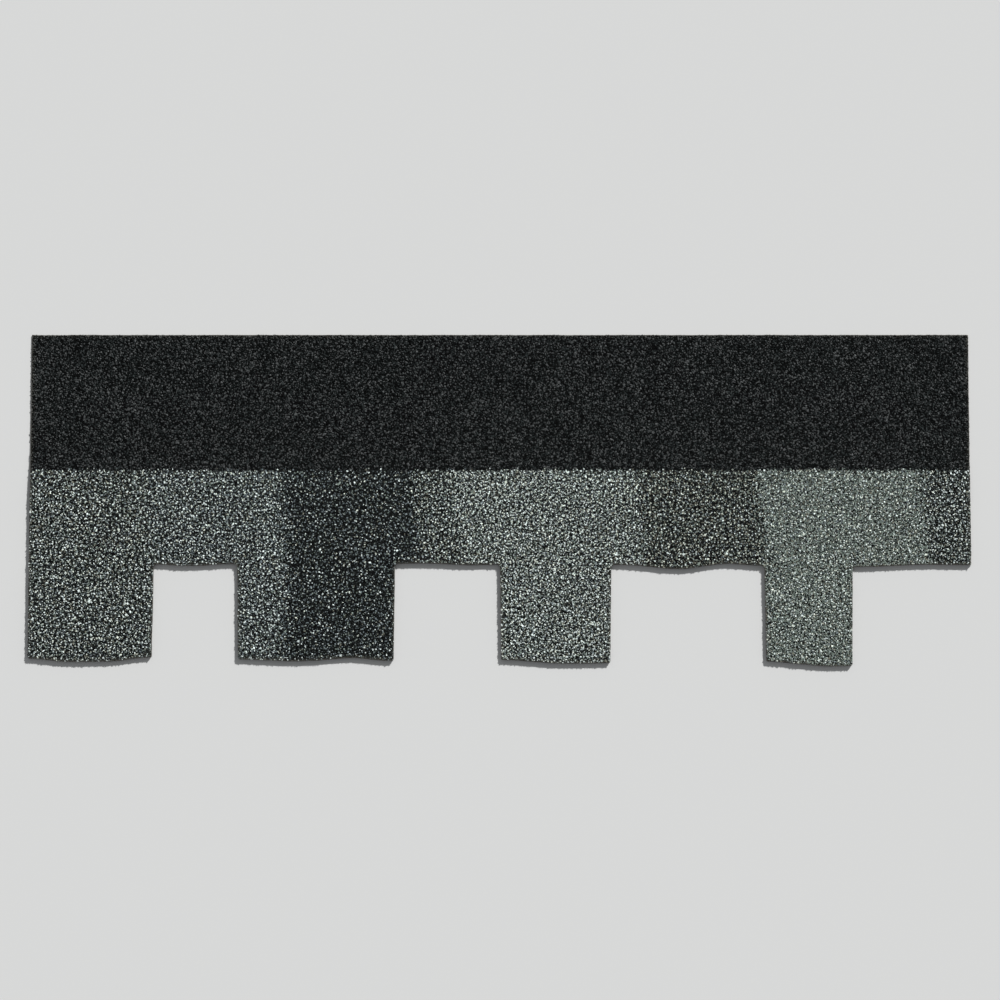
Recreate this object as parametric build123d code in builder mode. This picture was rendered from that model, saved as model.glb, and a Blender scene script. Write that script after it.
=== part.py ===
from build123d import *
import os

# One two-ply laminated asphalt shingle, in millimetres.
# X runs along the course, +Y up the roof slope and +Z out of the weather face.
# The origin is under the middle of the sheet, on the surface that it lies on.

# Tabs, and the notch at the right of each, from the left end of the sheet
TAB_1 = 134.0
NOTCH_1 = 92.0
TAB_2 = 168.0
NOTCH_2 = 115.0
TAB_3 = 118.0
NOTCH_3 = 167.0
TAB_4 = 93.0
NOTCH_4 = 129.0

# Heights on the sheet, measured up the slope
SHEET_HEIGHT = 362.0  # lowest point of the butts to the top edge of the headlap
NOTCH_HEIGHT = 110.0  # lowest point of the butts to the roots of the notches
BOND_WIDTH = 70.0  # nailing zone above the notches, where the two plies are laminated
BEND_RUN = 65.0  # over this the face ply sags from the backing ply down to the surface

# Thicknesses, granules and back dust included
FACE_PLY = 2.8
BACKING_PLY = 2.6
SEAL_BEAD = 0.8
TAPE_FILM = 0.15

# Self-seal bead on the back of each tab
SEAL_WIDTH = 13.0
SEAL_HEIGHT = 28.0  # lowest point of the butts to the middle of the beads
SEAL_INSET = 7.0  # from each side of its tab
SEAL_ROUND = 0.3

# Release film on the back of the headlap, which faces the beads of a turned neighbour in the pack
TAPE_WIDTH = 25.0

# Die-cut corners, and how far a tab's side leans inwards on its way down to the butt
BUTT_CORNER = 2.0
ROOT_CORNER = 3.0
SIDE_LEAN = 1.2

# Each butt edge is a gentle hand-sawn wave: its height above the lowest point of the butts,
# at the left corner, the quarter points and the right corner of the tab
BUTT_WAVE_1 = (8.4, 5.2, 4.7, 6.1, 9.6)
BUTT_WAVE_2 = (7.6, 5.8, 6.1, 9.0, 5.8)
BUTT_WAVE_3 = (7.0, 5.2, 3.2, 2.9, 3.5)
BUTT_WAVE_4 = (5.2, 3.5, 1.5, 0.0, 0.6)

# Each notch root waves too: its height against NOTCH_HEIGHT, at the same five points
ROOT_WAVE_1 = (0.5, -0.8, -1.2, 0.0, 1.0)
ROOT_WAVE_2 = (0.8, 1.5, 0.5, -0.5, 0.0)
ROOT_WAVE_3 = (0.0, -2.4, -4.4, 1.0, -1.1)
ROOT_WAVE_4 = (-2.3, -1.7, 0.0, 0.0, -0.5)

TABS = (TAB_1, TAB_2, TAB_3, TAB_4)
NOTCHES = (NOTCH_1, NOTCH_2, NOTCH_3, NOTCH_4)
BUTT_WAVES = (BUTT_WAVE_1, BUTT_WAVE_2, BUTT_WAVE_3, BUTT_WAVE_4)
ROOT_WAVES = (ROOT_WAVE_1, ROOT_WAVE_2, ROOT_WAVE_3, ROOT_WAVE_4)

# Places worked out from the sizes above
LENGTH = sum(TABS) + sum(NOTCHES)
LEFT_END = -LENGTH / 2
RIGHT_END = LENGTH / 2
BUTT_LINE = -SHEET_HEIGHT / 2
TOP_EDGE = SHEET_HEIGHT / 2
ROOT_LINE = BUTT_LINE + NOTCH_HEIGHT
BOND_TOP = ROOT_LINE + BOND_WIDTH
BEND_END = BOND_TOP + BEND_RUN
BACKING_LEVEL = SEAL_BEAD
FACE_LEVEL = BACKING_LEVEL + BACKING_PLY
WEATHER_LEVEL = FACE_LEVEL + FACE_PLY
TAB_LEFT = [LEFT_END + sum(TABS[:i]) + sum(NOTCHES[:i]) for i in range(len(TABS))]
TAB_RIGHT = [left + width for left, width in zip(TAB_LEFT, TABS)]

EAST = (1, 0)


def wave(left, right, line, heights):
    """Curve of a wavy cut edge from left to right, level where it meets its two corners."""
    step = (right - left) / (len(heights) - 1)
    points = [(left + step * i, line + height) for i, height in enumerate(heights)]
    return Spline(*points, tangents=(EAST, EAST))


def tabbed_sheet(top):
    """The ply seen from above: four tabs with wavy butts, and the sheet above them as far as top."""
    with BuildSketch() as sheet:
        with BuildLine():
            before = Line((LEFT_END, top), (LEFT_END, BUTT_LINE + BUTT_WAVE_1[0] + BUTT_CORNER))
            for i, (left, right) in enumerate(zip(TAB_LEFT, TAB_RIGHT)):
                # Down round the left corner, along the butt and up round the right corner
                low = wave(left + BUTT_CORNER, right - BUTT_CORNER, BUTT_LINE, BUTT_WAVES[i])
                TangentArc(low @ 0, before @ 1, tangent=(-1, 0))
                side_foot = (right, (low @ 1).Y + BUTT_CORNER)
                TangentArc(low @ 1, side_foot, tangent=EAST)
                # Up the side of the tab, which leans out to the root, and along the notch
                lean_right = right + SIDE_LEAN
                last = i == len(TABS) - 1
                next_left = RIGHT_END if last else TAB_LEFT[i + 1] - SIDE_LEAN
                root_end = next_left if last else next_left - ROOT_CORNER
                high = wave(lean_right + ROOT_CORNER, root_end, ROOT_LINE, ROOT_WAVES[i])
                side_head = (lean_right, (high @ 0).Y - ROOT_CORNER)
                Line(side_foot, side_head)
                TangentArc(high @ 0, side_head, tangent=(-1, 0))
                if last:
                    Polyline(high @ 1, (RIGHT_END, top), (LEFT_END, top))
                else:
                    next_head = (next_left, (high @ 1).Y - ROOT_CORNER)
                    next_foot = (TAB_LEFT[i + 1], BUTT_LINE + BUTT_WAVES[i + 1][0] + BUTT_CORNER)
                    TangentArc(high @ 1, next_head, tangent=EAST)
                    before = Line(next_head, next_foot)
        make_face()
    return sheet.sketch


# Backing ply: toothed like the face ply, and as high as the nailing zone
with BuildPart() as backing_ply:
    with BuildSketch(Plane.XY.offset(BACKING_LEVEL)):
        add(tabbed_sheet(BOND_TOP))
    extrude(amount=BACKING_PLY)

# Face ply: flat over the backing ply, then an easy S-bend down, then the headlap flat on the surface
with BuildPart() as face_ply:
    with BuildSketch(Plane.YZ):
        with BuildLine():
            bend_middle = ((BOND_TOP + BEND_END) / 2, FACE_LEVEL / 2)
            Line((BUTT_LINE, FACE_LEVEL), (BOND_TOP, FACE_LEVEL))
            TangentArc((BOND_TOP, FACE_LEVEL), bend_middle, tangent=EAST)
            TangentArc((BEND_END, 0), bend_middle, tangent=(-1, 0))
            Line((BEND_END, 0), (TOP_EDGE, 0))
            offset(amount=FACE_PLY, side=Side.LEFT)
        make_face()
    extrude(amount=LENGTH / 2, both=True)
    with BuildSketch():
        add(tabbed_sheet(TOP_EDGE))
    extrude(amount=WEATHER_LEVEL, mode=Mode.INTERSECT)
    # Bed of the release film, pressed flush into the back
    with BuildSketch(Plane.YZ):
        with Locations((TOP_EDGE - SEAL_HEIGHT, 0)):
            Rectangle(TAPE_WIDTH, TAPE_FILM, align=(Align.CENTER, Align.MIN))
    extrude(amount=LENGTH / 2, both=True, mode=Mode.SUBTRACT)

# Release film
with BuildPart() as release_tape:
    with BuildSketch(Plane.YZ):
        with Locations((TOP_EDGE - SEAL_HEIGHT, 0)):
            Rectangle(TAPE_WIDTH, TAPE_FILM, align=(Align.CENTER, Align.MIN))
    extrude(amount=LENGTH / 2, both=True)

os.makedirs("parts", exist_ok=True)
for sub_part, label in ((backing_ply, "backing_ply"), (face_ply, "face_ply"), (release_tape, "release_tape")):
    sub_part.part.label = label
    export_step(sub_part.part, f"parts/{label}.step")

# Self-seal beads, one on the back of each tab, round at their ends and eased along the foot
for number, (left, right) in enumerate(zip(TAB_LEFT, TAB_RIGHT), start=1):
    with BuildPart() as seal_strip:
        with BuildSketch():
            with Locations(((left + right) / 2, BUTT_LINE + SEAL_HEIGHT)):
                SlotOverall(right - left - 2 * SEAL_INSET, SEAL_WIDTH)
        extrude(amount=SEAL_BEAD)
        fillet(seal_strip.edges().group_by(Axis.Z)[0], SEAL_ROUND)
    seal_strip.part.label = f"seal_strip_{number}"
    export_step(seal_strip.part, f"parts/seal_strip_{number}.step")
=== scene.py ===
import math

import bpy
import numpy as np
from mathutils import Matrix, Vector
from mathutils.bvhtree import BVHTree
from mathutils.kdtree import KDTree


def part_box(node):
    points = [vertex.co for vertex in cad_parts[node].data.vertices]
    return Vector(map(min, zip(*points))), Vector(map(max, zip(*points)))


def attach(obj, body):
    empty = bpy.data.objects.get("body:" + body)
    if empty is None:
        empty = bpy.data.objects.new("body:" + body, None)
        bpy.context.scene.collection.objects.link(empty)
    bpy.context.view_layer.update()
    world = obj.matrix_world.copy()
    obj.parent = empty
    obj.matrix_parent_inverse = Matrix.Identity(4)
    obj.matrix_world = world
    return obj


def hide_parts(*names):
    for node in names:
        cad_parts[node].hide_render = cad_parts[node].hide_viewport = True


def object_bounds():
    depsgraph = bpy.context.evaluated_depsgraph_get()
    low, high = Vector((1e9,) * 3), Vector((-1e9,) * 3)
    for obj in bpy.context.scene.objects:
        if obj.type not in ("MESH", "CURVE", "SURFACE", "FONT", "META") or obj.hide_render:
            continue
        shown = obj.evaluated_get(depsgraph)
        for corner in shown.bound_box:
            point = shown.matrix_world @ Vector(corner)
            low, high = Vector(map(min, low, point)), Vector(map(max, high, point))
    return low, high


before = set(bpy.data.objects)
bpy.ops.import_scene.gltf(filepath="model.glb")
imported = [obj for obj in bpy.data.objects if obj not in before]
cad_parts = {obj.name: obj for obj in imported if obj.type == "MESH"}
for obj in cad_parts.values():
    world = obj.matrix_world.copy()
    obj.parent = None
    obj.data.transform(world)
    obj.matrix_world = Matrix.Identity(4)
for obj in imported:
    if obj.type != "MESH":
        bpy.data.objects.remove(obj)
cad_box = [[float(v) for v in corner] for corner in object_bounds()]

# Backing ply: the lower sheet of asphalt-coated glass mat, cut through together with the face ply.
# Its upper side is bonded to the face ply, so only its cut edges and its dusted back show.

CUT_STEP = 0.0016  # spacing of the points along a cut edge
CUT_INSET = 0.00035  # the cut line stays this far inside its CAD outline
CUT_WANDER = 0.00012  # how far the knife line strays from there
LONG_STRAY = (0.6, 9)  # it strays slowly and quickly at once: the share of each, and its width in points
SHORT_STRAY = (0.4, 2)
CUT_ROWS = 3  # rows of points down the height of a cut edge
CUT_ROUGH = 0.00025
ARRIS = 0.0007  # the knife drags the upper arris down and rounds it
ARRIS_STEPS = 2
SHARP_EDGE = 35  # degrees between two faces, past which the edge looks sharp
WELD = 1e-6  # points closer than this become one
ABOVE = 0.01  # heights are felt for from this far over a ply

# Noise scales are in waves to the metre, and the depth of a relief is in metres
DUST_GRAIN = 1500
DUST_STREAKS = 160
STREAK_PULL = 0.12  # along the sheet the streaks have this share of the waves that they have across it
DUST_CLOUDS = 28
DUST_RELIEF = 0.0003
BACK_DUST = (0.118, 0.115, 0.108)
THICK_DUST = 1.7  # where it lies thickest it is this many times paler
BACK_BARE = (0.062, 0.060, 0.056)
CUT_ASPHALT = (0.018, 0.017, 0.016)
CUT_FILLER = (0.190, 0.178, 0.150)
CUT_SPECKS = 900
CUT_RELIEF = 0.0004
MAT_FIBRE = (0.36, 0.34, 0.30)
MAT_STRANDS = 420
MAT_FOOT, MAT_MIDDLE, MAT_HEAD = 0.40, 0.50, 0.60  # where the mat lies, as shares of the ply's thickness
MAT_SHOWN = 0.42  # the mat's strands show where their noise is over this


def only(ob):
    """Leaves ob as the one selected and active object."""
    bpy.ops.object.select_all(action="DESELECT")
    ob.select_set(True)
    bpy.context.view_layer.objects.active = ob


def pick(ob, mode, wanted):
    """In edit mode, selects the elements of that mode for which wanted says true, and nothing else."""
    bpy.ops.mesh.select_mode(type=mode)
    bpy.ops.mesh.select_all(action="DESELECT")
    bpy.ops.object.mode_set(mode="OBJECT")
    elements = {"VERT": ob.data.vertices, "EDGE": ob.data.edges, "FACE": ob.data.polygons}[mode]
    for element in elements:
        element.select = bool(wanted(element))
    bpy.ops.object.mode_set(mode="EDIT")


def facing(face):
    """up, down or side: which way a face of a ply looks."""
    return "up" if face.normal.z > 0.7 else "down" if face.normal.z < -0.7 else "side"


def smooth_noise(rng, count, width):
    """Noise round a closed line of count points, smooth over width points, with a spread of 1."""
    raw = rng.normal(size=count)
    kernel = np.hanning(2 * width + 1)
    wave = np.convolve(np.tile(raw, 3), kernel, "same")[count:2 * count]
    return wave / wave.std()


def knife_line(node, seed):
    """The outline of a CAD ply as the knife left it: closed and evenly stepped, as rows of x and y."""
    only(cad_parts[node])
    bpy.ops.object.duplicate()
    template = bpy.context.view_layer.objects.active
    bpy.ops.object.mode_set(mode="EDIT")
    bpy.ops.mesh.select_all(action="SELECT")
    bpy.ops.mesh.remove_doubles(threshold=WELD)
    pick(template, "FACE", lambda face: facing(face) != "up")
    bpy.ops.mesh.delete(type="FACE")
    # What is left is pressed flat and becomes one face
    bpy.ops.mesh.select_all(action="SELECT")
    bpy.ops.transform.resize(value=(1, 1, 0))
    bpy.ops.mesh.dissolve_limited(angle_limit=math.radians(0.1))
    bpy.ops.object.mode_set(mode="OBJECT")
    face = max(template.data.polygons, key=lambda polygon: len(polygon.vertices))
    corners = np.array([template.data.vertices[i].co[:2] for i in face.vertices])
    bpy.data.objects.remove(template)
    # Even steps, then inwards by the inset and the wander of the knife
    closed = np.vstack([corners, corners[:1]])
    along = np.concatenate([[0], np.cumsum(np.hypot(*np.diff(closed, axis=0).T))])
    count = round(along[-1] / CUT_STEP)
    at = np.linspace(0, along[-1], count, endpoint=False)
    line = np.stack([np.interp(at, along, closed[:, k]) for k in (0, 1)], 1)
    tangent = np.roll(line, -1, 0) - np.roll(line, 1, 0)
    tangent /= np.linalg.norm(tangent, axis=1, keepdims=True)
    inwards = np.stack([-tangent[:, 1], tangent[:, 0]], 1)
    rng = np.random.default_rng(seed)
    stray = sum(share * smooth_noise(rng, count, width) for share, width in (LONG_STRAY, SHORT_STRAY))
    depth = (CUT_INSET + CUT_WANDER * stray).clip(0, 3 * CUT_INSET)
    return line + inwards * depth[:, None]


def surface_of(node, lower=0.0):
    """A function that gives the height of a CAD node's upper surface at x, y, less lower."""
    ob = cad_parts[node]
    tree = BVHTree.FromObject(ob, bpy.context.evaluated_depsgraph_get())
    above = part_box(node)[1].z + ABOVE

    def height(x, y):
        hit = tree.ray_cast(Vector((x, y, above)), Vector((0, 0, -1)))[0]
        if hit is None:
            hit = tree.find_nearest(Vector((x, y, above)))[0]
        return hit.z - lower

    return height


def cut_sheet(name, line, height, thickness, cuts_y=()):
    """A ply cut along line, thickness deep below height(x, y), with rough cut edges and a round arris."""
    mesh = bpy.data.meshes.new(name)
    mesh.from_pydata([(x, y, 0) for x, y in line], [], [tuple(range(len(line)))])
    sheet = bpy.data.objects.new(name, mesh)
    bpy.context.scene.collection.objects.link(sheet)
    only(sheet)
    bpy.ops.object.mode_set(mode="EDIT")
    for y in cuts_y:
        bpy.ops.mesh.select_all(action="SELECT")
        bpy.ops.mesh.bisect(plane_co=(0, y, 0), plane_no=(0, 1, 0))
    bpy.ops.object.mode_set(mode="OBJECT")
    for vertex in mesh.vertices:
        vertex.co.z = height(vertex.co.x, vertex.co.y)
    mesh.update()
    if mesh.polygons[0].normal.z < 0:
        mesh.flip_normals()
    wall = sheet.modifiers.new("Wall", "SOLIDIFY")
    wall.thickness = thickness
    wall.offset = -1
    wall.use_even_offset = False
    bpy.ops.object.modifier_apply(modifier=wall.name)
    # Rows down the cut, roughened
    upright = 0.8 * thickness  # an edge at least this high stands in the cut

    def stands(edge):
        a, b = (mesh.vertices[i].co for i in edge.vertices)
        return abs(a.z - b.z) > upright and math.hypot(a.x - b.x, a.y - b.y) < upright

    bpy.ops.object.mode_set(mode="EDIT")
    pick(sheet, "EDGE", stands)
    bpy.ops.mesh.subdivide(number_cuts=CUT_ROWS)
    bpy.ops.object.mode_set(mode="OBJECT")
    rng = np.random.default_rng(len(line))
    rise = mesh.attributes.new("rise", "FLOAT", "POINT")
    outwards = [vertex.normal.copy() for vertex in mesh.vertices]
    for vertex, out in zip(mesh.vertices, outwards):
        share = 1 - (height(vertex.co.x, vertex.co.y) - vertex.co.z) / thickness
        if 0.1 < share < 0.9:  # between the back and the upper side
            vertex.co += Vector((out.x, out.y, 0)) * CUT_ROUGH * rng.uniform(-1, 0)
        rise.data[vertex.index].value = share
    # The arris, where the upper side meets the cut
    mesh.update()
    sides = {}
    for face in mesh.polygons:
        for key in face.edge_keys:
            sides.setdefault(key, []).append(facing(face))
    bpy.ops.object.mode_set(mode="EDIT")
    pick(sheet, "EDGE", lambda edge: sorted(sides[edge.key]) == ["side", "up"])
    bpy.ops.mesh.bevel(offset=ARRIS, segments=ARRIS_STEPS, profile=0.5)
    bpy.ops.object.mode_set(mode="OBJECT")
    bpy.ops.object.shade_smooth_by_angle(angle=math.radians(SHARP_EDGE))
    return sheet


def add_node(tree, kind, inputs=None, **settings):
    """A new shader node with these settings, and its inputs set or linked by name or number."""
    made = tree.nodes.new("ShaderNode" + kind)
    for name, value in settings.items():
        setattr(made, name, value)
    for name, value in (inputs or {}).items():
        if isinstance(value, bpy.types.NodeSocket):
            tree.links.new(value, made.inputs[name])
        else:
            made.inputs[name].default_value = value
    return made


def new_material(name, roughness, specular):
    """An empty Principled material: its tree, its shader node and itself."""
    material = bpy.data.materials.new(name)
    material.use_nodes = True
    tree = material.node_tree
    shader = tree.nodes["Principled BSDF"]
    shader.inputs["Roughness"].default_value = roughness
    shader.inputs["Specular IOR Level"].default_value = specular
    return tree, shader, material


def set_ramp(ramp, stops, interpolation="LINEAR"):
    """Gives a colour ramp these stops, each a position and a colour."""
    ramp.interpolation = interpolation
    while len(ramp.elements) > 1:
        ramp.elements.remove(ramp.elements[-1])
    for number, (position, colour) in enumerate(stops):
        element = ramp.elements[0] if number == 0 else ramp.elements.new(position)
        element.position = position
        element.color = (*colour, 1)


def back_material():
    """Fine mineral dust pressed into the hot asphalt back, thin in streaks along the run of the sheet."""
    tree, shader, material = new_material("dusted_asphalt_back", roughness=0.86, specular=0.25)
    place = add_node(tree, "TexCoord").outputs["Object"]
    fine = {"Vector": place, "Scale": DUST_GRAIN, "Detail": 3, "Roughness": 0.7}
    grain = add_node(tree, "TexNoise", fine)
    along = add_node(tree, "Mapping", {"Vector": place, "Scale": (STREAK_PULL, 1, 1)})
    streak = add_node(tree, "TexNoise", {"Vector": along.outputs[0], "Scale": DUST_STREAKS, "Detail": 4})
    cloud = add_node(tree, "TexNoise", {"Vector": place, "Scale": DUST_CLOUDS, "Detail": 3})
    bare = add_node(tree, "Math", {0: streak.outputs[0], 1: cloud.outputs[0]}, operation="MULTIPLY")
    cover = add_node(tree, "Math", {0: grain.outputs[0], 1: bare.outputs[0]}, operation="ADD")
    ramp = add_node(tree, "ValToRGB", {0: cover.outputs[0]})
    thick_dust = tuple(THICK_DUST * v for v in BACK_DUST)
    set_ramp(ramp.color_ramp, ((0.50, BACK_BARE), (0.70, BACK_DUST), (0.95, thick_dust)))
    tree.links.new(ramp.outputs[0], shader.inputs["Base Color"])
    bump = add_node(tree, "Bump", {"Height": grain.outputs[0], "Strength": 0.5, "Distance": DUST_RELIEF})
    tree.links.new(bump.outputs[0], shader.inputs["Normal"])
    return material


def cut_material():
    """The knife cut: black asphalt full of pale filler, and the glass mat as a broken line halfway up."""
    tree, shader, material = new_material("knife_cut", roughness=0.7, specular=0.35)
    place = add_node(tree, "TexCoord").outputs["Object"]
    fine = {"Vector": place, "Scale": CUT_SPECKS, "Detail": 4, "Roughness": 0.65}
    speck = add_node(tree, "TexNoise", fine)
    filler = add_node(tree, "ValToRGB", {0: speck.outputs[0]})
    set_ramp(filler.color_ramp, ((0.38, CUT_ASPHALT), (0.62, CUT_FILLER)))
    rise = add_node(tree, "Attribute", attribute_name="rise")
    level = add_node(tree, "ValToRGB", {0: rise.outputs["Fac"]})
    set_ramp(level.color_ramp, ((MAT_FOOT, (0, 0, 0)), (MAT_MIDDLE, (1, 1, 1)), (MAT_HEAD, (0, 0, 0))))
    strand = add_node(tree, "TexNoise", {"Vector": place, "Scale": MAT_STRANDS, "Detail": 2})
    strands = add_node(tree, "Math", {0: strand.outputs[0], 1: level.outputs[0]}, operation="MULTIPLY")
    shown = add_node(tree, "Math", {0: strands.outputs[0], 1: MAT_SHOWN}, operation="GREATER_THAN")
    mixed = add_node(tree, "Mix", {"Factor": shown.outputs[0]}, data_type="RGBA")
    tree.links.new(filler.outputs[0], mixed.inputs[6])
    mixed.inputs[7].default_value = (*MAT_FIBRE, 1)
    tree.links.new(mixed.outputs[2], shader.inputs["Base Color"])
    bump = add_node(tree, "Bump", {"Height": speck.outputs[0], "Strength": 0.6, "Distance": CUT_RELIEF})
    tree.links.new(bump.outputs[0], shader.inputs["Normal"])
    return material


back_low, back_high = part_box("backing_ply")
backing_sheet = cut_sheet(
    "backing_sheet", knife_line("backing_ply", seed=3), surface_of("backing_ply"), back_high.z - back_low.z
)
dusted_back = back_material()
knife_cut = cut_material()
backing_sheet.data.materials.append(dusted_back)
backing_sheet.data.materials.append(knife_cut)
for polygon in backing_sheet.data.polygons:
    polygon.material_index = 1 if facing(polygon) == "side" else 0
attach(backing_sheet, "root")
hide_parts("backing_ply")

# Face ply: the full-height coated sheet. Its asphalt bed lies below the granules that are rolled into it,
# and over the backing ply's top edge it sags down to the headlap in an easy bend.

GRANULE_DEPTH = 0.0008  # the bed lies this far below the tops of the granules
BEND_REACH = 0.068  # the bend ends within this distance of the backing ply's top edge
BEND_STEP = 0.0045
FILM_EASE = 0.0005  # the back eases up into the bed of the release film over this width
FILM_GAP = 0.00002  # between the film and its bed
DRAGGED = 0.97  # upper faces whose normals rise less than this belong to the arris
BED_FINES = 0.0009  # width of the fines between the granules
BED_RELIEF = 0.0006
BED_ASPHALT = (0.002, 0.002, 0.002)

# Colour drops from the left end: where each ends, as a share of the length, and which blend it holds
DROPS = ((0.128, "mid"), (0.272, "bluish"), (0.412, "charcoal"), (0.455, "mid"), (0.650, "flecked"),
         (0.778, "brownish"), (0.951, "sage"), (1.0, "mid"))
EXPOSED = 0.213  # the drops reach this far up from the butts, past twice the exposure
# Each blend's shares of white, cream, sage, slate, buff and charcoal granules. What is left is black
BLENDS = {
    "mid": (0.135, 0.055, 0.12, 0.10, 0.06, 0.10),
    "bluish": (0.16, 0.03, 0.09, 0.21, 0.03, 0.10),
    "flecked": (0.20, 0.09, 0.15, 0.10, 0.06, 0.07),
    "sage": (0.12, 0.08, 0.50, 0.06, 0.08, 0.01),
    "brownish": (0.069, 0.058, 0.12, 0.07, 0.14, 0.10),
    "charcoal": (0.04, 0.01, 0.05, 0.18, 0.02, 0.28),
}
GRADES = ("white", "cream", "sage", "slate", "buff", "charcoal", "black")
GRADE_COLOURS = {
    "white": (0.84, 0.93, 0.90),
    "cream": (0.80, 0.86, 0.76),
    "sage": (0.245, 0.295, 0.262),
    "slate": (0.180, 0.215, 0.225),
    "buff": (0.220, 0.222, 0.180),
    "charcoal": (0.028, 0.033, 0.033),
    "black": (0.0030, 0.0036, 0.0036),
}

face_low, face_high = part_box("face_ply")
tape_low, tape_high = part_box("release_tape")
length = face_high.x - face_low.x
bed_height = surface_of("face_ply", GRANULE_DEPTH)
bed_depth = face_high.z - back_high.z - GRANULE_DEPTH
film_cuts = (tape_low.y - FILM_EASE, tape_low.y, tape_high.y, tape_high.y + FILM_EASE)
bend_cuts = np.arange(back_high.y, back_high.y + BEND_REACH, BEND_STEP)
face_cut = knife_line("face_ply", seed=4)
face_sheet = cut_sheet("face_sheet", face_cut, bed_height, bed_depth, (*bend_cuts, *film_cuts))
for vertex in face_sheet.data.vertices:
    if vertex.co.z < tape_high.z and tape_low.y - WELD < vertex.co.y < tape_high.y + WELD:
        vertex.co.z = tape_high.z + FILM_GAP


def blend_tone(name):
    """The mean colour of a blend's granules."""
    shares = BLENDS[name]
    shares = (*shares, 1 - sum(shares))
    return tuple(sum(s * GRADE_COLOURS[g][k] for s, g in zip(shares, GRADES)) for k in range(3))


def bed_material():
    """The asphalt bed with the smallest granules pressed into it, toned as the drop above it."""
    tree, shader, material = new_material("granule_bed", roughness=0.95, specular=0.05)
    place = add_node(tree, "TexCoord").outputs["Object"]
    axes = add_node(tree, "SeparateXYZ", {0: place})
    run = add_node(tree, "MapRange", {0: axes.outputs[0], 1: face_low.x, 2: face_high.x})
    drop = add_node(tree, "ValToRGB", {0: run.outputs[0]})
    starts = (0.0, *(end for end, _ in DROPS[:-1]))
    tones = [(at, blend_tone(name)) for at, (_, name) in zip(starts, DROPS)]
    set_ramp(drop.color_ramp, tones, "CONSTANT")
    high = add_node(tree, "Math", {0: axes.outputs[1], 1: face_low.y + EXPOSED}, operation="GREATER_THAN")
    tone = add_node(tree, "Mix", {"Factor": high.outputs[0]}, data_type="RGBA")
    tree.links.new(drop.outputs[0], tone.inputs[6])
    tone.inputs[7].default_value = (*GRADE_COLOURS["charcoal"], 1)
    grain = {"Vector": place, "Scale": 1 / BED_FINES, "Detail": 3, "Roughness": 0.7}
    fines = add_node(tree, "TexNoise", grain)
    shown = add_node(tree, "MapRange", {0: fines.outputs[0], 1: 0.50, 2: 0.72, 3: 0.0, 4: 0.8})
    bedded = add_node(tree, "Mix", {"Factor": shown.outputs[0]}, data_type="RGBA")
    bedded.inputs[6].default_value = (*BED_ASPHALT, 1)
    tree.links.new(tone.outputs[2], bedded.inputs[7])
    tree.links.new(bedded.outputs[2], shader.inputs["Base Color"])
    bump = add_node(tree, "Bump", {"Height": fines.outputs[0], "Strength": 0.8, "Distance": BED_RELIEF})
    tree.links.new(bump.outputs[0], shader.inputs["Normal"])
    return material


granule_bed = bed_material()
for material in (granule_bed, knife_cut, dusted_back):
    face_sheet.data.materials.append(material)
for polygon in face_sheet.data.polygons:
    # The arris shows the cut asphalt
    arris = facing(polygon) == "up" and polygon.normal.z < DRAGGED
    polygon.material_index = 1 if arris else ("up", "side", "down").index(facing(polygon))
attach(face_sheet, "root")
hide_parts("face_ply")

# Weather granules: crushed rock with a fired ceramic coat, one colour to a grade, rolled into the hot
# asphalt. Each grade is one piece. The blend of grades changes from drop to drop along the sheet.

GRANULE_STEP = 0.00155  # spacing of the granules in the exposed part
GRANULE_WIDTH = 0.00158
GRANULE_TALL = 0.00100
GRANULE_SUNK = 0.00025  # how deep a granule's foot sits in the bed
GRANULE_ROLLED = 0.0013  # the roller meets the granules at this height over their feet
ROLLED_DOWN = 0.65  # and presses down what stands higher by this share of it
SHAKEN = 0.42  # how far granules lie off an even grid, as a share of its step
LEVEL_BED = 0.8  # a granule keeps its hold where the bed's normal rises more than this
ABOVE_BED = 0.05  # the bed is felt for from this height
CHIPPING = 0.08  # how far the corners of a chip stray, as a share of its size
SIZE_SPREAD = 0.20  # how far widths differ
STRETCHES = (0.75, 1.35)  # length by width
HEIGHTS = (0.55, 1.1)  # shares of the full height
LEANS = (-0.35, 0.35)  # slopes of a granule's foot
TINT_SPREAD = 0.20  # how far the grains of one grade differ in lightness
TINTS = (0.5, 1.6)
HUE_DRIFT = 0.015
COAT_DRIFT = 500  # noise scale of the changing hue
COAT_PORES = 4500
PORE_DEPTH = 0.00015
DROP_SWAY = 0.004  # the ends of the drops sway this far to the sides
SWAY_RISE = 0.031  # and one radian of that wave takes this much of the sheet's height
DROP_BLUR = 0.0045  # the drops run into each other over about this width
LINE_BLUR = 0.0014  # and the exposed part into the headlap over this
MIX_CELL = 0.0042  # the hopper mixes the grades well: every patch this wide holds its share of each
KNIFE_REACH = 0.0022  # the knife trims the granules that lie this close to the cut
KNIFE_SLACK = 0.00012  # and leaves this much of them standing over it
CUT_HIGHLIGHT_WIDTH = 0.0045  # painted highlight: granules this close to the cut are lightened towards a warm grey, as if its rim caught the light
CUT_RIM_HIGHLIGHT = (0.165, 0.160, 0.135)
CUT_HIGHLIGHT_SHARE = 0.55  # how much of a granule's colour it hides at the cut itself
CUT_HIGHLIGHT_SPREAD = (0.4, 1)  # some granules catch less of it
MAP_MARGIN = 0.004
CHIP_WELD = 1e-4  # as a share of a chip's width


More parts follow.
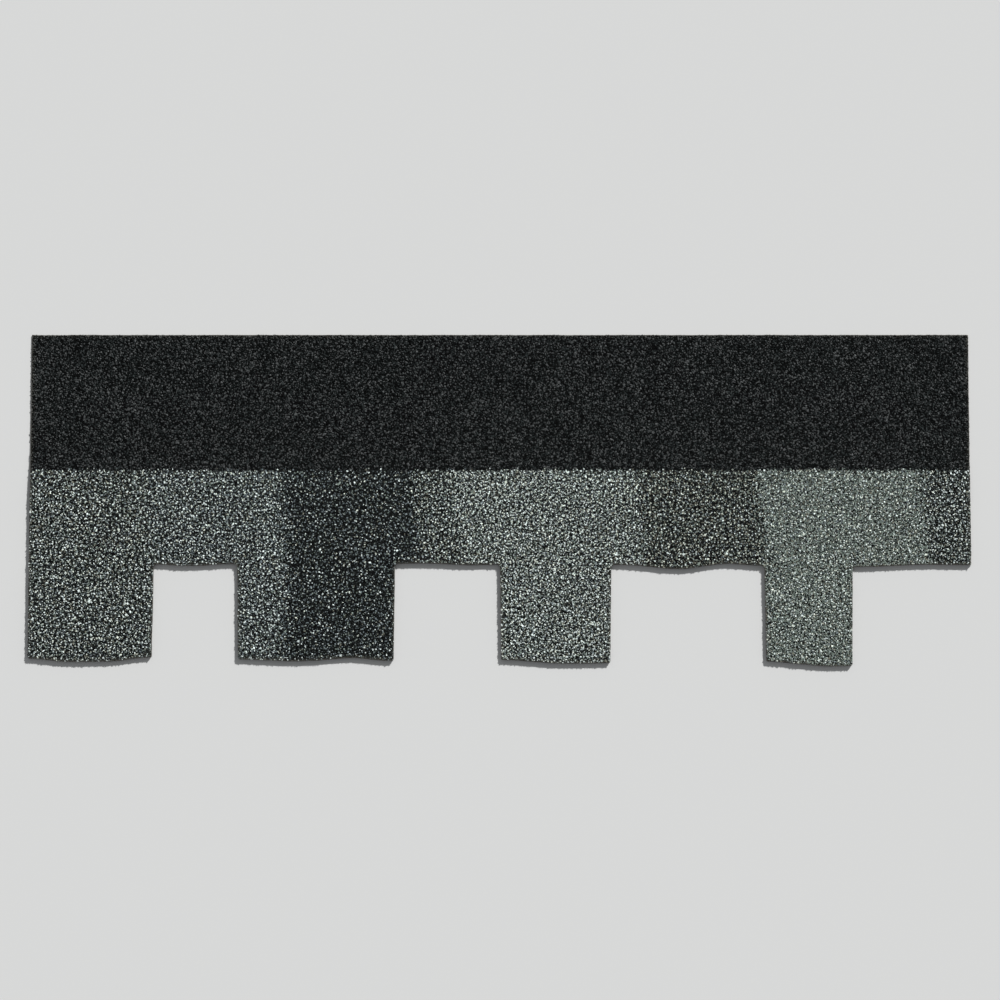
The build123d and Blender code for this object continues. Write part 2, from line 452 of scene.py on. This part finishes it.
def taken_form():
    """The active object's mesh as points and triangles, after which the object is gone."""
    chip = bpy.context.view_layer.objects.active
    bpy.ops.mesh.select_all(action="SELECT")
    bpy.ops.mesh.remove_doubles(threshold=CHIP_WELD)
    bpy.ops.mesh.quads_convert_to_tris()
    bpy.ops.object.mode_set(mode="OBJECT")
    points = np.array([vertex.co[:] for vertex in chip.data.vertices]) + (0, 0, 0.5)
    faces = np.array([face.vertices[:] for face in chip.data.polygons])
    bpy.data.objects.remove(chip)
    return points, faces


def chip_form(sides, foot, top, lean, ridge=1.0):
    """One crushed chip, about a unit wide and tall: its top leans, and may narrow to a ridge or a tip."""
    bpy.ops.mesh.primitive_cone_add(
        vertices=sides, radius1=foot, radius2=top, depth=1, location=(0, 0, 0.5)
    )
    bpy.ops.object.mode_set(mode="EDIT")
    bpy.ops.transform.rotate(value=math.pi / 4, orient_axis="Z", center_override=(0, 0, 0))
    # The top, squeezed and pushed over
    pick(bpy.context.view_layer.objects.active, "VERT", lambda vertex: vertex.co.z > 0.4)
    bpy.ops.transform.resize(value=(ridge, 0.85, 1))
    bpy.ops.transform.translate(value=(lean, lean * 0.5, 0))
    return taken_form()


# Squared block, roof-shaped wedge, three-sided slab and two tipped shards
chip_forms = (
    chip_form(4, 0.64, 0.48, 0.08),
    chip_form(4, 0.62, 0.50, -0.06, ridge=0.0),
    chip_form(3, 0.68, 0.44, 0.05),
    chip_form(5, 0.60, 0.0, 0.14),
    chip_form(4, 0.68, 0.0, -0.16),
)
PALE_CHIPS = (0.40, 0.20, 0.22, 0.10, 0.08)
DARK_CHIPS = (0.0, 0.18, 0.25, 0.12, 0.45)


def spots_on_bed(step, low_y, high_y, seed):
    """Rows of x, y, z on the bed between two heights of the sheet, on a shaken triangular grid."""
    rng = np.random.default_rng(seed)
    tree = BVHTree.FromObject(face_sheet, bpy.context.evaluated_depsgraph_get())
    rows = np.arange(low_y, high_y, step * math.sqrt(3) / 2)
    spots = []
    for number, y in enumerate(rows):
        xs = np.arange(face_low.x + (number % 2) * step / 2, face_high.x, step)
        shaken = rng.uniform(-SHAKEN, SHAKEN, (len(xs), 2)) * step
        for x, (dx, dy) in zip(xs, shaken):
            above = Vector((x + dx, y + dy, ABOVE_BED))
            spot, normal, _, _ = tree.ray_cast(above, Vector((0, 0, -1)))
            if spot is not None and normal.z > LEVEL_BED:
                spots.append(spot[:])
    return np.array(spots)


# The points of the knife line, and the way out of the sheet at each
along_cut = np.roll(face_cut, -1, 0) - np.roll(face_cut, 1, 0)
off_cut = np.stack([along_cut[:, 1], -along_cut[:, 0]], 1)
off_cut /= np.linalg.norm(along_cut, axis=1, keepdims=True)
cut_points = KDTree(len(face_cut))
for number, (x, y) in enumerate(face_cut):
    cut_points.insert((x, y, 0), number)
cut_points.balance()


def rubble(name, spots, width, tall, seed, chip_shares, rolled):
    """A piece of many chips, one to a spot, each turned, leaned, stretched and chipped in its own way.

    What stands higher than rolled is pressed down towards that height.
    """
    rng = np.random.default_rng(seed)
    kinds = rng.choice(len(chip_forms), len(spots), p=chip_shares)
    points, faces, tints, rim_highlights, base = [], [], [], [], 0
    for kind, (form, form_faces) in enumerate(chip_forms):
        at = spots[kinds == kind]
        count = len(at)
        chips = form + rng.uniform(-CHIPPING, CHIPPING, (count, *form.shape))
        size = width * np.exp(rng.normal(0, SIZE_SPREAD, count))
        stretch = rng.uniform(*STRETCHES, count)
        chips[:, :, 0] *= (size * stretch)[:, None]
        chips[:, :, 1] *= (size / stretch)[:, None]
        chips[:, :, 2] *= (tall * rng.uniform(*HEIGHTS, count))[:, None]
        lean = rng.uniform(*LEANS, (count, 2))
        chips[:, :, 2] += chips[:, :, 0] * lean[:, :1] + chips[:, :, 1] * lean[:, 1:]
        too_high = (chips[:, :, 2] - rolled).clip(0, None)
        chips[:, :, 2] -= ROLLED_DOWN * too_high
        turn = rng.uniform(0, 2 * math.pi, count)
        cosine, sine = np.cos(turn)[:, None], np.sin(turn)[:, None]
        x, y = chips[:, :, 0].copy(), chips[:, :, 1].copy()
        chips[:, :, 0] = x * cosine - y * sine
        chips[:, :, 1] = x * sine + y * cosine
        chips += at[:, None]
        chips[:, :, 2] -= GRANULE_SUNK
        # The knife trims what stands over the cut
        nearest = [cut_points.find((x, y, 0))[1:] for x, y, _ in at]
        cut_number = np.array([number for number, _ in nearest], int)
        from_cut = np.array([distance for _, distance in nearest])
        outwards = off_cut[cut_number][:, None]
        over = ((chips[:, :, :2] - face_cut[cut_number][:, None]) * outwards).sum(2)
        over = (over - KNIFE_SLACK).clip(0, None) * (from_cut < KNIFE_REACH)[:, None]
        chips[:, :, :2] -= over[:, :, None] * outwards
        points.append(chips.reshape(-1, 3))
        step = base + np.arange(count) * len(form)
        faces.append((form_faces[None] + step[:, None, None]).reshape(-1, 3))
        tints.append(np.repeat(rng.normal(1, TINT_SPREAD, count).clip(*TINTS), len(form_faces)))
        # Painted highlight along the cut: a granule is lightened the more, the closer it lies to the cut
        dust = (1 - from_cut / CUT_HIGHLIGHT_WIDTH).clip(0, 1) * rng.uniform(*CUT_HIGHLIGHT_SPREAD, count)
        rim_highlights.append(np.repeat(dust * CUT_HIGHLIGHT_SHARE, len(form_faces)))
        base += count * len(form)
    points = np.concatenate(points)
    for axis in range(3):
        points[:, axis] = points[:, axis].clip(cad_box[0][axis], cad_box[1][axis])
    faces = np.concatenate(faces)
    mesh = bpy.data.meshes.new(name)
    mesh.from_pydata(points.tolist(), [], faces.tolist())
    # The dust attribute holds the painted highlight along the cut
    for attribute, values in (("tint", tints), ("dust", rim_highlights)):
        layer = mesh.attributes.new(attribute, "FLOAT", "FACE")
        layer.data.foreach_set("value", np.concatenate(values).astype(np.float32))
    # A map seen from above, for patterns that are baked
    flat = mesh.uv_layers.new(name="OFBake")
    low, high = points[:, :2].min(0), points[:, :2].max(0)
    places = MAP_MARGIN + (1 - 2 * MAP_MARGIN) * (points[faces.ravel(), :2] - low) / (high - low)
    flat.uv.foreach_set("vector", places.astype(np.float32).ravel())
    heap = bpy.data.objects.new(name, mesh)
    bpy.context.scene.collection.objects.link(heap)
    return heap


def granule_material(name, colour, roughness, specular):
    """The coat of one grade, a little lighter or darker from granule to granule, with fine pores, and
    lightened near the cut as a painted highlight.
    """
    tree, shader, material = new_material(name, roughness, specular)
    place = add_node(tree, "TexCoord").outputs["Object"]
    drift = add_node(tree, "TexNoise", {"Vector": place, "Scale": COAT_DRIFT, "Detail": 2})
    hues = {0: drift.outputs[0], 1: 0.3, 2: 0.7, 3: 0.5 - HUE_DRIFT, 4: 0.5 + HUE_DRIFT}
    hue = add_node(tree, "MapRange", hues)
    tint = add_node(tree, "Attribute", attribute_name="tint")
    coat = add_node(
        tree, "HueSaturation",
        {"Hue": hue.outputs[0], "Value": tint.outputs["Fac"], "Color": (*colour, 1)},
    )
    # Painted highlight: the dust attribute mixes the coat towards a warm grey near the cut, as if the rim
    # were lit
    dust = add_node(tree, "Attribute", attribute_name="dust")
    dusted = add_node(tree, "Mix", {"Factor": dust.outputs["Fac"]}, data_type="RGBA")
    tree.links.new(coat.outputs[0], dusted.inputs[6])
    dusted.inputs[7].default_value = (*CUT_RIM_HIGHLIGHT, 1)
    tree.links.new(dusted.outputs[2], shader.inputs["Base Color"])
    pores = add_node(tree, "TexNoise", {"Vector": place, "Scale": COAT_PORES, "Detail": 2})
    bump = add_node(tree, "Bump", {"Height": pores.outputs[0], "Strength": 0.5, "Distance": PORE_DEPTH})
    tree.links.new(bump.outputs[0], shader.inputs["Normal"])
    return material


def drop_blends(spots, seed):
    """For each spot, the shares of the grades in the drop that it falls in, with blurred drop edges."""
    rng = np.random.default_rng(seed)
    sway = DROP_SWAY * np.sin(spots[:, 1] / SWAY_RISE + 1) + rng.normal(0, DROP_BLUR, len(spots))
    share = (spots[:, 0] - face_low.x + sway) / length
    ends = np.array([end for end, _ in DROPS])
    number = np.searchsorted(ends, share).clip(0, len(DROPS) - 1)
    return np.array([BLENDS[name] for _, name in DROPS])[number]


def mixed_draw(spots, seed):
    """A number from 0 to 1 for each spot, spread evenly in each patch, so that the grades mix well."""
    rng = np.random.default_rng(seed)
    cells = np.floor((spots[:, :2] - (face_low.x, face_low.y)) / MIX_CELL)
    along = math.ceil(length / MIX_CELL)
    _, patch, held = np.unique(cells @ (1, along), return_inverse=True, return_counts=True)
    order = np.lexsort((rng.uniform(size=len(spots)), patch))
    rank = np.empty(len(spots))
    rank[order] = np.arange(len(spots)) - (np.cumsum(held) - held)[patch[order]]
    return (rank + rng.uniform(size=len(spots))) / held[patch]


coats = {
    grade: granule_material("ceramic_" + grade, GRADE_COLOURS[grade], roughness=0.85, specular=0.08)
    for grade in GRADES
}
exposed_line = face_low.y + EXPOSED
exposed_spots = spots_on_bed(GRANULE_STEP, face_low.y, exposed_line + 2 * LINE_BLUR, seed=11)
rng = np.random.default_rng(12)
blurred_line = exposed_line + rng.normal(0, LINE_BLUR, len(exposed_spots))
exposed_spots = exposed_spots[exposed_spots[:, 1] < blurred_line]
shares = drop_blends(exposed_spots, seed=13)
picked = (mixed_draw(exposed_spots, seed=14)[:, None] > np.cumsum(shares, 1)).sum(1)
for number, grade in enumerate(GRADES):
    spots = exposed_spots[picked == number]
    heap = rubble(
        "granules_" + grade, spots, GRANULE_WIDTH, GRANULE_TALL, seed=20 + number,
        chip_shares=DARK_CHIPS if grade in ("charcoal", "black") else PALE_CHIPS, rolled=GRANULE_ROLLED,
    )
    heap.data.materials.append(coats[grade])
    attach(heap, "root")

# Headlap granules: the part that the next courses cover gets a plain dark blend of slag granules.
# They are crushed from boiler slag, left uncoated, and somewhat coarser than the coloured ones.

HEADLAP_STEP = 0.00215
HEADLAP_WIDTH = 0.00192
HEADLAP_TALL = 0.0014
HEADLAP_ROLLED = 0.0009
HEADLAP_SHARES = {"black": 0.18, "charcoal": 0.42, "slag": 0.40}
HEADLAP_CHIPS = (0.05, 0.28, 0.27, 0.15, 0.25)
SLAG = (0.070, 0.075, 0.075)

coats["slag"] = granule_material("slag", SLAG, roughness=0.6, specular=0.3)
headlap_spots = spots_on_bed(HEADLAP_STEP, exposed_line - 2 * LINE_BLUR, face_high.y, seed=31)
blurred_line = exposed_line + rng.normal(0, LINE_BLUR, len(headlap_spots))
headlap_spots = headlap_spots[headlap_spots[:, 1] > blurred_line]
picked = rng.choice(list(HEADLAP_SHARES), len(headlap_spots), p=list(HEADLAP_SHARES.values()))
for number, grade in enumerate(HEADLAP_SHARES):
    spots = headlap_spots[picked == grade]
    heap = rubble(
        "headlap_" + grade, spots, HEADLAP_WIDTH, HEADLAP_TALL, seed=40 + number,
        chip_shares=HEADLAP_CHIPS, rolled=HEADLAP_ROLLED,
    )
    heap.data.materials.append(coats[grade])
    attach(heap, "root")

# Self-seal beads: soft asphalt, flowed on hot under each tab, thick in the middle and pitted.
# On the roof the sun's heat glues each bead to the shingle below.

BEAD_RIM = 0.00012  # thickness of a bead along its edge
BEAD_STRAY = 0.0006  # the edges stray this far
BEAD_SWELL = 0.12  # and the thickness varies by this share
BEAD_CUT = 0.003  # spacing of the points along a bead
BEAD_ENDS = 0.96  # how round the ends are, with 1 for half circles
BEAD_END_STEPS = 10
BEAD_SHARP_EDGE = 60
# Steps of the dome: each goes in by a share of half the width, and down by a share of the thickness
BEAD_DOME = ((0.05, 0.35), (0.12, 0.30), (0.18, 0.20), (0.25, 0.12), (0.20, 0.03))
BEAD_FLOW = 170  # noise scales
BEAD_PITS = 420
PIT_DEPTH = 0.0005
BEAD_ASPHALT = (0.008, 0.008, 0.009)
BEAD_SKIN = (0.028, 0.027, 0.026)


def asphalt_material():
    """Glossy soft asphalt with a faint skin of dust and small pits."""
    tree, shader, material = new_material("seal_asphalt", roughness=0.28, specular=0.5)
    place = add_node(tree, "TexCoord").outputs["Object"]
    flow = add_node(tree, "TexNoise", {"Vector": place, "Scale": BEAD_FLOW, "Detail": 4})
    skin = add_node(tree, "ValToRGB", {0: flow.outputs[0]})
    set_ramp(skin.color_ramp, ((0.42, BEAD_ASPHALT), (0.70, BEAD_SKIN)))
    tree.links.new(skin.outputs[0], shader.inputs["Base Color"])
    rough = add_node(tree, "MapRange", {0: flow.outputs[0], 1: 0.35, 2: 0.7, 3: 0.18, 4: 0.5})
    tree.links.new(rough.outputs[0], shader.inputs["Roughness"])
    pits = add_node(tree, "TexVoronoi", {"Vector": place, "Scale": BEAD_PITS})
    relief = {"Height": pits.outputs["Distance"], "Strength": 0.25, "Distance": PIT_DEPTH}
    bump = add_node(tree, "Bump", relief)
    tree.links.new(bump.outputs[0], shader.inputs["Normal"])
    return material


def seal_bead(node, seed):
    """A bead as it was laid: a slot-shaped patch under the ply, domed downwards, its edge wandering."""
    low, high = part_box(node)
    middle, size = (low + high) / 2, high - low
    bpy.ops.mesh.primitive_cube_add(
        size=1, location=(middle.x, middle.y, high.z - BEAD_RIM / 2),
        scale=(size.x - 2 * BEAD_STRAY, size.y - 2 * BEAD_STRAY, BEAD_RIM),
    )
    bead = bpy.context.view_layer.objects.active
    bpy.ops.object.transform_apply(location=True, rotation=True, scale=True)
    bpy.ops.object.mode_set(mode="EDIT")
    ends = size.y / 2 - BEAD_STRAY

    def stands(edge):
        a, b = (bead.data.vertices[i].co for i in edge.vertices)
        return abs(a.z - b.z) > BEAD_RIM / 2

    pick(bead, "EDGE", stands)
    bpy.ops.mesh.bevel(offset=BEAD_ENDS * ends, segments=BEAD_END_STEPS, profile=0.5)
    # Domed in steps
    pick(bead, "FACE", lambda face: face.normal.z < -0.9)
    for inwards, downwards in BEAD_DOME:
        bpy.ops.mesh.inset(thickness=inwards * ends, depth=downwards * (size.z - BEAD_RIM))
    for x in np.arange(low.x + BEAD_CUT, high.x, BEAD_CUT):
        bpy.ops.mesh.select_all(action="SELECT")
        bpy.ops.mesh.bisect(plane_co=(x, 0, 0), plane_no=(1, 0, 0))
    bpy.ops.object.mode_set(mode="OBJECT")
    # Flow: the edges wander and the thickness swells and thins, both kept between -1 and 1
    rng = np.random.default_rng(seed)
    count = round(size.x / BEAD_CUT) + 2
    stray, swell = (smooth_noise(rng, count, width).clip(-1.8, 1.8) / 1.8 for width in (2, 3))
    places = low.x + np.arange(count) * BEAD_CUT
    for vertex in bead.data.vertices:
        at = vertex.co
        at.y += BEAD_STRAY * float(np.interp(at.x, places, stray))
        thickness = 1 - BEAD_SWELL + BEAD_SWELL * float(np.interp(at.x, places, swell))
        at.z = high.z - (high.z - at.z) * thickness
    bpy.ops.object.shade_smooth_by_angle(angle=math.radians(BEAD_SHARP_EDGE))
    bead.name = node.replace("strip", "bead")
    return bead


seal_asphalt = asphalt_material()
for number in range(1, 5):
    bead = seal_bead(f"seal_strip_{number}", seed=50 + number)
    bead.data.materials.append(seal_asphalt)
    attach(bead, "root")
    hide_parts(f"seal_strip_{number}")

# Release film: a strip of polyester film pressed into the hot back of the headlap.
# In the pack it keeps the beads of the next shingle from sticking. It is the CAD piece, with its finish.

FILM_CREASES = 240  # noise scale
CREASE_PULL = 0.15  # across the strip the creases have this share of those waves
CREASE_DEPTH = 0.0005
FILM_CLEAR = (0.30, 0.31, 0.32)
FILM_MILKY = (0.50, 0.51, 0.52)


def film_material():
    """Milky film over dark asphalt, with fine creases across it."""
    tree, shader, material = new_material("release_film", roughness=0.22, specular=0.5)
    place = add_node(tree, "TexCoord").outputs["Object"]
    across = add_node(tree, "Mapping", {"Vector": place, "Scale": (1, CREASE_PULL, 1)})
    crease = add_node(tree, "TexNoise", {"Vector": across.outputs[0], "Scale": FILM_CREASES, "Detail": 3})
    milk = add_node(tree, "ValToRGB", {0: crease.outputs[0]})
    set_ramp(milk.color_ramp, ((0.35, FILM_CLEAR), (0.65, FILM_MILKY)))
    tree.links.new(milk.outputs[0], shader.inputs["Base Color"])
    relief = {"Height": crease.outputs[0], "Strength": 0.35, "Distance": CREASE_DEPTH}
    bump = add_node(tree, "Bump", relief)
    tree.links.new(bump.outputs[0], shader.inputs["Normal"])
    return material


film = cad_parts["release_tape"]
film.data.materials.clear()
film.data.materials.append(film_material())

# Floor, lamp and camera: a pale studio floor under the sheet, soft light from all round,
# a key light from the upper right and a camera that looks down on the sheet.

FLOOR = (0.74, 0.74, 0.73)
FLOOR_SIZE = 12
FLOOR_GAP = 0.00005  # between the floor and the sheet
KEY_STRENGTH = 3.5
KEY_HEIGHT = 38  # degrees above the floor
KEY_SIDE = 35  # degrees clockwise from up the slope
KEY_SIZE = 5  # degrees
WORLD = (0.9, 0.93, 0.96)
WORLD_STRENGTH = 0.26
LENS = 180
CAMERA_AWAY = 5.4
CAMERA_SEES_FROM = 0.01
CAMERA_LEAN = 8  # degrees from straight above, towards the butts

bpy.ops.mesh.primitive_plane_add(size=FLOOR_SIZE, location=(0, 0, -FLOOR_GAP))
floor = bpy.context.view_layer.objects.active
floor.name = "floor"
tree, shader, material = new_material("floor", roughness=0.9, specular=0.2)
shader.inputs["Base Color"].default_value = (*FLOOR, 1)
floor.data.materials.append(material)

world = bpy.data.worlds.new("studio")
bpy.context.scene.world = world
world.use_nodes = True
world.node_tree.nodes["Background"].inputs["Color"].default_value = (*WORLD, 1)
world.node_tree.nodes["Background"].inputs["Strength"].default_value = WORLD_STRENGTH

sun = bpy.data.lights.new("key", "SUN")
sun.energy = KEY_STRENGTH
sun.angle = math.radians(KEY_SIZE)
key = bpy.data.objects.new("key", sun)
bpy.context.scene.collection.objects.link(key)
low, side = math.radians(KEY_HEIGHT), math.radians(KEY_SIDE)
towards = Vector((math.cos(low) * math.sin(side), math.cos(low) * math.cos(side), math.sin(low)))
key.rotation_euler = towards.to_track_quat("Z", "Y").to_euler()

camera = bpy.data.cameras.new("camera")
camera.lens = LENS
camera.clip_start = CAMERA_SEES_FROM
eye = bpy.data.objects.new("camera", camera)
lean = math.radians(CAMERA_LEAN)
eye.location = (0, -CAMERA_AWAY * math.sin(lean), CAMERA_AWAY * math.cos(lean))
eye.rotation_euler = (lean, 0, 0)
bpy.context.scene.collection.objects.link(eye)
bpy.context.scene.camera = eye
bpy.context.scene.view_settings.view_transform = "Standard"
